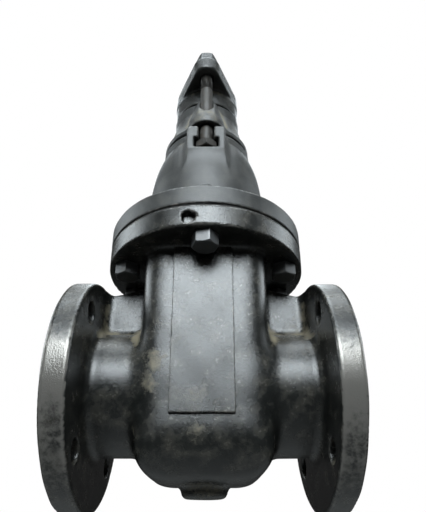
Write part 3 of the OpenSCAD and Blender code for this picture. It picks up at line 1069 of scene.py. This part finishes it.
@dataclass
class BonnetCasting(Casting):
    """Domed bonnet with a round flange and two bolt lugs."""

    node: str = "bonnet"
    cell: float = 1.5
    face: float = 128.7
    flange_top: float = 145.5
    flange_r: float = 87.0
    flange_rim: float = 1.4
    foot_r: float = 57.5
    foot_fillet: float = 9.0
    dome_r: float = 54.5
    dome_z: float = 195.0
    shoulder_in: float = 3.5
    shoulder_up: float = 29.0
    crown_r: float = 43.5
    crown_z: float = 247.0
    crown_h: float = 9.0
    lug_reach: float = 55.0
    lug_half: float = 18.0
    lug_top: float = 243.0
    lug_edge: float = 2.2
    lug_corner: float = 5.0
    lug_fillet: float = 6.0
    lug_fade: float = 216.0
    lug_widen: float = 0.08
    lug_sink: float = 0.36
    pocket_half: float = 11.2
    pocket_in: float = 31.0
    pocket_z: float = 218.0
    pocket_top: float = 229.5
    pocket_edge: float = 2.0
    slot_half: float = 7.25
    bore_r: float = 11.1
    bare: tuple[Spot, ...] = ((0, -56, 236, 9, 0.25), (-60, -62, 145, 10, 0.4),
                              (40, -77, 145, 8, 0.35))
    mud: tuple[Spot, ...] = ((-20, -50, 176, 18, 0.35), (25, -46, 200, 14, 0.3))

    def reach(self) -> Box:
        """Half sides along X and Y and the two heights that hold it."""
        return self.flange_r, self.flange_r, self.face, self.crown_z

    def shape(self, p: Points) -> np.ndarray:
        """Distance of the bonnet.

        Args:
            p: Points.

        Returns:
            Distance, negative inside.
        """
        x, f, z = p[0], np.abs(p[1]), p[2]
        foot, r, top = self.face + 2, self.crown_r, self.crown_z
        lean = (self.dome_r - self.shoulder_in, self.dome_z + self.shoulder_up)
        shoulder = bend((self.dome_r, self.dome_z), lean, (r, top - self.crown_h))
        dome = lathe(p, [(0.0, foot), (self.foot_r, foot), (self.foot_r, self.flange_top + 4)]
                     + shoulder + [(r, top - 1.0), (r - 1.0, top), (0.0, top)])
        flange = disc(p, self.flange_r, self.face, self.flange_top, self.flange_rim)
        d = blend(flange, dome, self.foot_fillet)

        # Below lug_fade the lug widens and sinks back into the dome.
        drop = np.maximum(self.lug_fade - z, 0.0)
        wide = np.abs(x) - self.lug_widen * np.minimum(drop + 10.0, 40.0)
        lug = block((wide, f + self.lug_sink * drop, z), (-self.lug_half, -5.0, self.face + 4.0),
                    (self.lug_half, self.lug_reach, self.lug_top), self.lug_edge)
        rounded = corner(np.abs(x) - self.lug_half, z - self.lug_top, self.lug_corner)
        d = blend(d, meet(lug, rounded, 1.0), self.lug_fillet)

        pocket = block((x, f, z), (-self.pocket_half, self.pocket_in, self.pocket_z),
                       (self.pocket_half, self.lug_reach + 9, self.pocket_top), 1.0)
        roof = self.pocket_top - 1.0 - z
        slot = np.maximum(np.maximum(np.abs(x) - self.slot_half, GLAND_BOLT_Y - f), roof)
        end = np.maximum(np.hypot(x, f - GLAND_BOLT_Y) - self.slot_half, roof)
        d = carve(d, np.minimum(pocket, np.minimum(slot, end)), self.pocket_edge)
        d = drill(d, p, self.face - 3, self.flange_top + 8)
        return np.maximum(d, self.bore_r - np.hypot(x, p[1]))


@dataclass
class StuffingBox(Casting):
    """Stuffing box with a rim, a tapering barrel and two ears."""

    node: str = "stuffing_box"
    cell: float = 1.25
    seat: float = 247.0
    rim_z: float = 249.5
    rim_r: float = 43.0
    rim_t: float = 7.0
    rim_edge: float = 1.2
    lip: float = 1.5
    foot_in: float = 7.0
    flare_out: float = 2.5
    flare_up: float = 13.0
    flare_h: float = 28.0
    skirt_half: float = 17.0
    barrel_r: float = 33.5
    top: float = 297.0
    ear_r: float = 17.5
    ear_root: float = 10.0
    ear_reach: float = 55.0
    ear_front: float = 9.0
    ear_flat: float = 6.5
    ear_h: float = 47.0
    ear_lean: float = 17.0
    ear_top_r: float = 8.0
    ear_edge: float = 1.5
    bore_r: float = 18.5
    bore_depth: float = 23.0
    mud: tuple[Spot, ...] = ((0, -52, 258, 16, 0.5), (-34, -20, 262, 14, 0.4),
                             (32, -24, 270, 14, 0.4))

    def reach(self) -> Box:
        """Half sides along X and Y and the two heights that hold it."""
        return self.rim_r, self.ear_reach, self.seat, self.top

    def shape(self, p: Points) -> np.ndarray:
        """Distance of the stuffing box.

        Args:
            p: Points.

        Returns:
            Distance, negative inside.
        """
        x, f, z = p[0], np.abs(p[1]), p[2]
        r, rim, thin, collar = self.rim_r, self.rim_z, self.barrel_r, self.rim_z + self.rim_t
        foot, edge, lip = r - self.foot_in, self.rim_edge, self.lip
        flare = bend((r - lip, collar), (thin + self.flare_out, collar + self.flare_up),
                     (thin, collar + self.flare_h))
        barrel = lathe(p, [(0.0, self.seat), (foot, self.seat), (foot, rim), (r - edge, rim),
                           (r, rim + edge), (r, collar - lip)] + flare
                       + [(thin, self.top - lip), (thin - lip, self.top), (0.0, self.top)])
        skirt = np.maximum(disc(p, r - 0.6, self.seat, rim + 1.5, 0.3), f - self.skirt_half)
        d = blend(blend(barrel, skirt, 1.5), self.ear(x, f, z), 4.0)
        d = carve(d, np.hypot(x, f - GLAND_BOLT_Y) - BOLT_HOLE, 0.8)
        bore = np.maximum(np.hypot(x, p[1]) - self.bore_r, self.top - self.bore_depth - z)
        return carve(d, bore, 1.2)

    def ear(self, x: np.ndarray, f: np.ndarray, z: np.ndarray) -> np.ndarray:
        """Distance of an ear, with a leaning front, two cheeks and a facet between them.

        Args:
            x: Places along the pipe.
            f: Distances from the middle towards the front or back.
            z: Heights.

        Returns:
            Distance, negative inside.
        """
        root, r = self.ear_root, self.ear_r
        plan = round_plan(x, f - root, r, self.ear_reach - root, r - 0.5)
        ear = corner(plan, span(z, self.rim_z, self.rim_z + self.ear_h), 1.2)
        up, wide = z - self.rim_z - self.ear_front, np.abs(x)
        climb, run = self.ear_h - self.ear_front, self.ear_lean
        taper = r - self.ear_top_r + 1.0
        tilt = (up * run + (f - self.ear_reach) * climb) / math.hypot(climb, run)
        cheek = (up * taper + (wide - r - 1.0) * climb) / math.hypot(climb, taper)
        slant = math.hypot(math.hypot(climb, run) * math.sqrt(2.0), climb)
        facet = (climb * (wide - self.ear_flat + f - self.ear_reach) + run * up) / slant
        faces = meet(meet(tilt, cheek, self.ear_edge), facet, self.ear_edge)
        return meet(ear, faces, self.ear_edge)


@dataclass
class GlandPlate(Casting):
    """Lozenge gland plate with a sleeve."""

    node: str = "gland"
    cell: float = 1.2
    low_z: float = 318.0
    top: float = 334.0
    edge: float = 2.2
    hub_low: float = 299.0
    hub_fillet: float = 2.5
    sleeve_low: float = 286.0
    sleeve_r: float = 18.3
    middle_r: float = 33.0
    end_r: float = 14.0
    bore_r: float = 11.06
    top_dust: float = 0.3

    def reach(self) -> Box:
        """Half sides along X and Y and the two heights that hold it."""
        return self.middle_r, GLAND_BOLT_Y + self.end_r, self.sleeve_low, self.top

    def shape(self, p: Points) -> np.ndarray:
        """Distance of the gland.

        Args:
            p: Points.

        Returns:
            Distance, negative inside.
        """
        u, v, z = np.abs(p[0]), np.abs(p[1]), p[2]
        b = (self.middle_r - self.end_r) / GLAND_BOLT_Y
        a = math.sqrt(1.0 - b * b)
        k = a * v - b * u
        middle, end = np.hypot(u, v), np.hypot(u, v - GLAND_BOLT_Y)
        plan = np.where(k < 0, middle - self.middle_r, a * u + b * v - self.middle_r)
        plan = np.where(k > a * GLAND_BOLT_Y, end - self.end_r, plan)
        plate = corner(plan, span(z, self.low_z, self.top), self.edge)
        sleeve = disc(p, self.sleeve_r, self.sleeve_low, self.low_z + 4, 0.6)
        hub = disc(p, self.middle_r - 0.5, self.hub_low, self.low_z + 4, 1.2)
        d = np.minimum(blend(plate, hub, self.hub_fillet), sleeve)
        d = carve(d, end - BOLT_HOLE, 0.8)
        return carve(d, middle - self.bore_r, 1.0)

    def muddy(self, q: np.ndarray) -> np.ndarray:
        """Dust on top of the plate."""
        return self.top_dust * (q[:, 2] > self.top - 1.0)


# Fasteners, the spindle and the inner parts.


def rings(levels: list[Level]) -> Skin:
    """Closed skin through rings of points.

    Args:
        levels: Radii and heights of each ring, from the bottom to the top.

    Returns:
        Points and faces.
    """
    n = len(levels[0][0])
    turn = np.linspace(0, 2 * math.pi, n, endpoint=False)
    points = [np.stack([r * np.cos(turn), r * np.sin(turn), z], 1) for r, z in levels]
    points.append(np.array([[0, 0, levels[0][1].mean()], [0, 0, levels[-1][1].mean()]]))
    sides = [(i, (i + 1) % n) for i in range(n)]
    faces = []
    for k in range(0, (len(levels) - 1) * n, n):
        faces += [(k + i, k + j, k + n + j, k + n + i) for i, j in sides]
    foot, head, last = len(levels) * n, len(levels) * n + 1, (len(levels) - 1) * n
    for i, j in sides:
        faces += [(foot, j, i), (head, last + i, last + j)]
    return np.concatenate(points), faces


def even(r: float, z: float, sides: int) -> Level:
    """Round ring of radius r at height z."""
    return np.full(sides, r), np.full(sides, z)


@dataclass
class Fasteners:
    """Hexagon bolts and nuts with chamfered corners and turned threads.

    Each pair is a lower and an upper end.
    """

    across: float = 19.0
    shank: float = 6.0
    pitch: float = 1.75
    sides: int = 72
    sharp: float = 32.0
    burr: float = 0.3
    face_share: float = 0.97
    chamfer: float = 0.58
    chamfer_least: float = 0.25
    thread_root: float = 0.95
    thread_depth: float = 0.85
    joint_head: Pair = (97.4, 108.4)
    joint_stem: Pair = (108.0, 149.0)
    joint_end: Pair = (149.0, 153.5)
    joint_nut: Pair = (145.5, 151.5)
    gland_head: Pair = (221.5, 229.5)
    gland_stem: Pair = (229.0, 300.0)
    gland_end: Pair = (300.0, 350.0)
    gland_nut: Pair = (334.0, 346.0)

    def hexagon(self, turn: float) -> np.ndarray:
        """Radius of the hexagon in each direction, turned by degrees."""
        t = np.degrees(np.linspace(0, 2 * math.pi, self.sides, endpoint=False)) - turn
        return self.across / 2 / np.cos(np.radians((t % 60.0) - 30.0))

    def hex_levels(self, ends: Pair, turn: float, bottom: bool, top: bool) -> list[Level]:
        """Rings of a hexagon with chamfers.

        Args:
            ends: Lower and upper face.
            turn: Turn of the corners in degrees.
            bottom: Whether the lower face is chamfered.
            top: Whether the upper face is chamfered.

        Returns:
            Rings from the bottom to the top.
        """
        r = self.hexagon(turn)
        flat = np.full(self.sides, self.across / 2 * self.face_share)
        drop = np.maximum(r - flat, 0.0) * self.chamfer + self.chamfer_least
        low, high = (np.full(self.sides, z) for z in ends)
        cut, plain_cut = (flat, drop), (r - self.burr, self.burr)
        foot_r, foot_h = cut if bottom else plain_cut
        head_r, head_h = cut if top else plain_cut
        return [(foot_r, low), (r, low + foot_h), (r, high - head_h), (head_r, high)]

    def thread_levels(self, ends: Pair) -> list[Level]:
        """Rings of a threaded end with a rounded tip.

        Args:
            ends: Lower and upper end.

        Returns:
            Rings from the bottom to the top.
        """
        z0, z1 = ends
        turn = np.linspace(0, 1, self.sides, endpoint=False)
        count = max(int((z1 - z0) / self.pitch * 6), 8)
        levels = []
        for z in np.linspace(z0, z1 - 1.4, count):
            wave = np.abs(((z / self.pitch - turn) % 1.0) * 2 - 1)
            radius = self.shank - self.thread_root + self.thread_depth * wave
            levels.append((radius, np.full(self.sides, z)))
        tip = ((self.shank - 0.9, z1 - 1.2), (self.shank - 1.9, z1 - 0.2), (1.5, z1))
        return levels + [even(r, z, self.sides) for r, z in tip]

    def place(self, node: str, parts: list[list[Level]], at: Pair,
              finish: bpy.types.Material) -> None:
        """Makes a fastener at its place.

        Args:
            node: The solid that it stands for.
            parts: Rings of its closed skins about its own axis.
            at: Place of its axis about the spindle.
            finish: Its material.
        """
        points, faces, start = [], [], 0
        for more, rows in map(rings, parts):
            points.append(more)
            faces += [tuple(i + start for i in row) for row in rows]
            start += len(more)
        placed = np.concatenate(points) + [at[0], at[1], 0.0]
        thing = make_object(f"{node}_steel", placed, faces, sharp=self.sharp)
        settle(thing, node, Slot.FASTENER, finish)

    def stem(self, ends: Pair) -> list[Level]:
        """Rings of a plain shank."""
        return [even(self.shank, z, self.sides) for z in ends]

    def joint_set(self, finish: bpy.types.Material) -> None:
        """Builds the six joint bolts and nuts.

        Args:
            finish: Their material.
        """
        for k, (at, turn) in enumerate(zip(bolt_places(), BOLT_TURNS), 1):
            # The front and the back head stand askew, the nuts each in a turn of their own.
            lean = turn + 19.0 if k in (1, 4) else 30.0
            head = self.hex_levels(self.joint_head, lean, True, False)
            bolt = [head, self.stem(self.joint_stem), self.thread_levels(self.joint_end)]
            self.place(f"joint_bolt_{k}", bolt, at, finish)
            nut = self.hex_levels(self.joint_nut, turn + 11 + 37 * (k - 1), False, True)
            self.place(f"joint_nut_{k}", [nut], at, finish)

    def gland_set(self, bolt_finish: bpy.types.Material, nut_finish: bpy.types.Material) -> None:
        """Builds the two gland bolts and nuts.

        Args:
            bolt_finish: Material of the bolts.
            nut_finish: Material of the nuts.
        """
        head = self.hex_levels(self.gland_head, 30.0, True, True)
        bolt = [head, self.stem(self.gland_stem), self.thread_levels(self.gland_end)]
        nut = self.hex_levels(self.gland_nut, 0.0, False, True)
        for side, y in (("front", -GLAND_BOLT_Y), ("back", GLAND_BOLT_Y)):
            self.place(f"{side}_gland_bolt", bolt, (0.0, y), bolt_finish)
            self.place(f"{side}_gland_nut", [nut], (0.0, y), nut_finish)


@dataclass
class Spindle:
    """Spindle with its collar, its screw below and a square for a key at its end."""

    r: float = 11.0
    low: float = 40.0
    top: float = 395.0
    square: float = 19.0
    square_len: float = 48.0
    square_corner: float = 0.65
    collar_r: float = 19.0
    collar_low: float = 247.3
    collar_top: float = 258.7
    chamfer: float = 0.8
    screw_top: float = 190.0
    screw_depth: float = 1.6
    pitch: float = 5.0
    sides: int = 64
    sharp: float = 30.0

    def stem_levels(self) -> list[Level]:
        """Rings of the screw, the stem and the collar.

        Returns:
            Rings from the bottom to the foot of the square.
        """
        turn = np.linspace(0, 1, self.sides, endpoint=False)
        levels = [even(self.r - 1.2, self.low, self.sides)]
        for z in np.arange(self.low + 0.6, self.screw_top, 1.0):
            wave = np.abs(((z / self.pitch - turn) % 1.0) * 2 - 1)
            wave = np.clip(3.2 * (wave - 0.5) + 0.5, 0.0, 1.0)
            radius = self.r - self.screw_depth + self.screw_depth * wave
            levels.append((radius, np.full(self.sides, z)))
        c, low, high = self.chamfer, self.collar_low, self.collar_top
        outline = (
            (self.r - c, self.screw_top), (self.r, self.screw_top + 1), (self.r, low - 0.1),
            (self.collar_r - c, low), (self.collar_r, low + c), (self.collar_r, high - c),
            (self.collar_r - c, high), (self.r, high + 0.1),
            (self.r, self.top - self.square_len - 1.5),
        )
        return levels + [even(r, z, self.sides) for r, z in outline]

    def square_levels(self) -> list[Level]:
        """Rings of the square and its rounded end.

        Returns:
            Rings from the foot of the square to the top.
        """
        angle = np.linspace(0, 1, self.sides, endpoint=False) * 2 * math.pi
        flat = self.square / 2 / np.maximum(np.abs(np.cos(angle)), np.abs(np.sin(angle)))
        widest = self.square * self.square_corner
        section = np.minimum(flat, widest)
        step = self.top - self.square_len
        outline = [(np.minimum(section, self.r), step), (section - 0.25, step + 0.4),
                   (section, step + 1.2), (section, self.top - 6.0)]
        for lift, trim in ((4.0, 1.0), (2.0, 3.0), (0.7, 4.6), (0.0, 5.6)):
            outline.append((np.minimum(section, widest - trim), self.top - lift))
        return [(r, np.full(self.sides, z)) for r, z in outline]

    def build(self, finish: bpy.types.Material) -> None:
        """Makes the spindle and puts it in place of its solid.

        Args:
            finish: Its material.
        """
        points, faces = rings(self.stem_levels() + self.square_levels())
        thing = make_object("spindle_steel", points, faces, sharp=self.sharp)
        settle(thing, "spindle", Slot.SPINDLE, finish)


@dataclass
class InnerParts:
    """Rings, gate, packing and sheet, whose solids already have their shape."""

    bronze: tuple[str, ...] = (
        "left_seat_ring", "right_seat_ring", "gate_left_ring", "gate_right_ring", "gate_nut")

    def dress(self, finishes: Finishes) -> None:
        """Gives the solids their finishes.

        Args:
            finishes: All finishes.
        """
        plan = {name: finishes.bronze for name in self.bronze}
        plan["gate"] = finishes.gate
        plan["packing"] = finishes.packing
        plan["joint_sheet"] = finishes.sheet
        for name, finish in plan.items():
            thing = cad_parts[name]
            thing.data.materials.clear()
            thing.data.materials.append(finish)
            LOG.info("%s: dressed", name)


# Studio.


@dataclass(frozen=True)
class Lamp:
    """Soft lamp with a rectangular face, in metres and watts."""

    name: str
    place: Place
    size: Pair
    power: float
    colour: Place = (0.87, 0.955, 1.0)
    spread: float = 70.0

    def build(self, aim: Place) -> None:
        """Adds the lamp.

        Args:
            aim: The point that it looks at.
        """
        data = bpy.data.lights.new(self.name, "AREA")
        data.shape = "RECTANGLE"
        data.size, data.size_y = self.size
        data.energy = self.power
        data.spread = math.radians(self.spread)
        data.color = self.colour
        thing = link(self.name, data)
        thing.location = self.place
        towards = Vector(aim) - Vector(self.place)
        thing.rotation_euler = towards.to_track_quat("-Z", "Y").to_euler()


@dataclass
class Studio:
    """Camera at the photo's view, soft lights and a pale floor.

    The camera's focus and middle are in pixels of the photo's frame, its distance and aim in
    millimetres, its angles in degrees.
    """

    photo: Pair = (426.0, 512.0)
    focus: float = 460.11
    middle: Pair = (213.0, 320.0)
    distance: float = 408.3
    pitch: float = 24.16
    azimuth: float = -0.31
    roll: float = -0.02
    aim: Place = (6.52, 0.0, 68.52)
    sensor: float = 36.0
    floor_z: float = -0.60
    floor_half: float = 14.0
    glow_heights: Pair = (-0.35, 0.9)
    glow_levels: Pair = (0.015, 0.11)
    lamp_aim: Place = (0.105, 0.0, 0.12)
    lamps: tuple[Lamp, ...] = (
        Lamp("key", (0.10, -1.02, 0.75), (0.95, 0.72), 6.9),
        Lamp("top", (0.10, -0.12, 1.48), (1.2, 0.7), 3.5),
        Lamp("left", (-0.97, 0.12, 0.62), (0.7, 0.7), 1.5),
        Lamp("right", (1.18, 0.12, 0.62), (0.7, 0.7), 1.3),
        Lamp("back", (0.10, 0.72, 1.20), (0.95, 0.5), 1.2),
    )

    def camera(self) -> None:
        """Adds the camera."""
        a, e, r = (math.radians(v) for v in (self.azimuth, self.pitch, self.roll))
        back = Vector((math.sin(a) * math.cos(e), -math.cos(a) * math.cos(e), -math.sin(e)))
        right = Vector((math.cos(a), math.sin(a), 0.0))
        up = right.cross(-back)
        x = math.cos(r) * right + math.sin(r) * up
        y = -math.sin(r) * right + math.cos(r) * up
        place = Vector(self.aim) + Vector((HALF_LENGTH, 0, 0)) + back * self.distance
        wide, high = self.photo
        data = bpy.data.cameras.new("view")
        data.sensor_width = self.sensor
        data.lens = self.focus / high * self.sensor
        data.shift_x = (wide / 2 - self.middle[0]) / high
        data.shift_y = (self.middle[1] - high / 2) / high
        data.clip_start = 0.01
        thing = link("view", data)
        turn = Matrix((x, y, back)).transposed().to_4x4()
        thing.matrix_world = Matrix.Translation(place * MM) @ turn
        bpy.context.scene.camera = thing

    def world(self) -> None:
        """Sets a pale surround that gives more light from above than from below."""
        made = bpy.data.worlds.new("studio")
        bpy.context.scene.world = made
        n = Nodes.fresh(made)
        up = n.add("SeparateXYZ", {0: n.add("TexCoord").outputs["Generated"]}).outputs["Z"]
        (low, high), (least, most) = self.glow_heights, self.glow_levels
        level = n.add("MapRange", {"Value": up, "From Min": low, "From Max": high,
                                   "To Min": least, "To Max": most}).outputs["Result"]
        white = (1.0, 1.0, 1.0, 1.0)
        glow = n.add("Background", {"Color": white, "Strength": level})
        pale = n.add("Background", {"Color": white, "Strength": 1.0})
        n.seen_or_lit(glow, pale, "OutputWorld")

    def floor(self) -> None:
        """Adds the pale floor, which looks paler than the light that it throws back."""
        mesh = bpy.data.meshes.new("floor")
        s, z = self.floor_half, self.floor_z
        mesh.from_pydata([(-s, -s, z), (s, -s, z), (s, s, z), (-s, s, z)], [], [(0, 1, 2, 3)])
        made = bpy.data.materials.new("floor")
        n = Nodes.fresh(made)
        matt = n.add("BsdfPrincipled", {"Base Color": (0.35, 0.35, 0.34, 1.0), "Roughness": 0.9})
        pale = n.add("Emission", {"Color": (0.80, 0.80, 0.79, 1.0), "Strength": 1.0})
        n.seen_or_lit(matt, pale, "OutputMaterial")
        mesh.materials.append(made)
        thing = link("floor", mesh)

    def build(self) -> None:
        """Sets the whole studio."""
        self.camera()
        self.world()
        self.floor()
        for lamp in self.lamps:
            lamp.build(self.lamp_aim)
        bpy.context.scene.view_settings.view_transform = "Standard"


def main() -> None:
    """Builds the valve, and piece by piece."""
    logging.basicConfig(level=logging.INFO, format="%(name)s %(message)s")
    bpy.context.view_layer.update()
    Studio().build()
    finishes = Finishes()
    PipeBody().build(finishes.body)
    ChestPanels().build(finishes.body)
    BonnetCasting().build(finishes.bonnet)
    StuffingBox().build(finishes.box)
    GlandPlate().build(finishes.gland)
    hardware = Fasteners()
    hardware.joint_set(finishes.bolt)
    hardware.gland_set(finishes.rusty, finishes.bolt)
    Spindle().build(finishes.spindle)
    InnerParts().dress(finishes)


if __name__ == "__main__":
    main()
